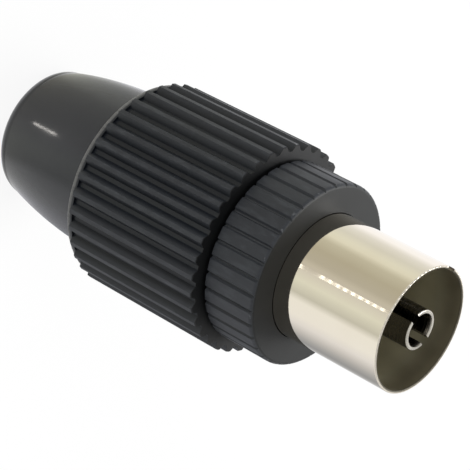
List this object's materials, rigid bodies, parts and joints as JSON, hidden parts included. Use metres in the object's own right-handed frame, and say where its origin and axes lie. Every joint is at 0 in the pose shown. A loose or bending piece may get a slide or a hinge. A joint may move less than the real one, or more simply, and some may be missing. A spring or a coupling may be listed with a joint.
{
  "type": "tv coaxial line socket",
  "caption": "Line socket for a television aerial cable: ribbed screw cap with a tapered cable end, grooved front ring, plated sleeve and split centre contact.",
  "frame": {"origin": "on the axis, at the flat face of the cable end", "axes": "+Z along the axis from the cable end to the mouth, +X towards the sleeve's strap, with one rib crest of the cap on it"},
  "size_m": [0.017, 0.017, 0.0392],
  "materials": {
    "black_plastic": "semi-gloss moulded",
    "black_plastic_front": "semi-gloss moulded",
    "nickel_sheet": "nickel-plated sheet",
    "insulator_plastic": "matte moulded",
    "nickel_contact": "nickel-plated, turned",
    "plated_screw": "zinc-plated"
  },
  "bodies": {
    "rear_cap": {"rear_cap": "black_plastic"},
    "chassis": {"outer_sleeve": "nickel_sheet", "insulator": "insulator_plastic", "centre_contact": "nickel_contact"},
    "front_body": {"front_body": "black_plastic_front"},
    "core_screw": {"core_screw": "plated_screw"}
  },
  "joints": [
    {"name": "chassis_lift", "type": "slide", "parent": "rear_cap", "child": "chassis", "axis": [0, 0, 1], "range_m": [0, 0.005]},
    {"name": "front_body_turn", "type": "hinge", "parent": "chassis", "child": "front_body", "pos_m": [0, 0, 0.025], "axis": [0, 0, 1], "range_deg": [0, 1440]},
    {"name": "core_screw_turn", "type": "hinge", "parent": "chassis", "child": "core_screw", "pos_m": [-0.002, 0, 0.0168], "axis": [-1, 0, 0], "range_deg": [0, 1080]}
  ],
  "couplings": [
    {"joint": "front_body_turn", "follows": "chassis_lift", "rad_per_m": 5026.5}
  ]
}
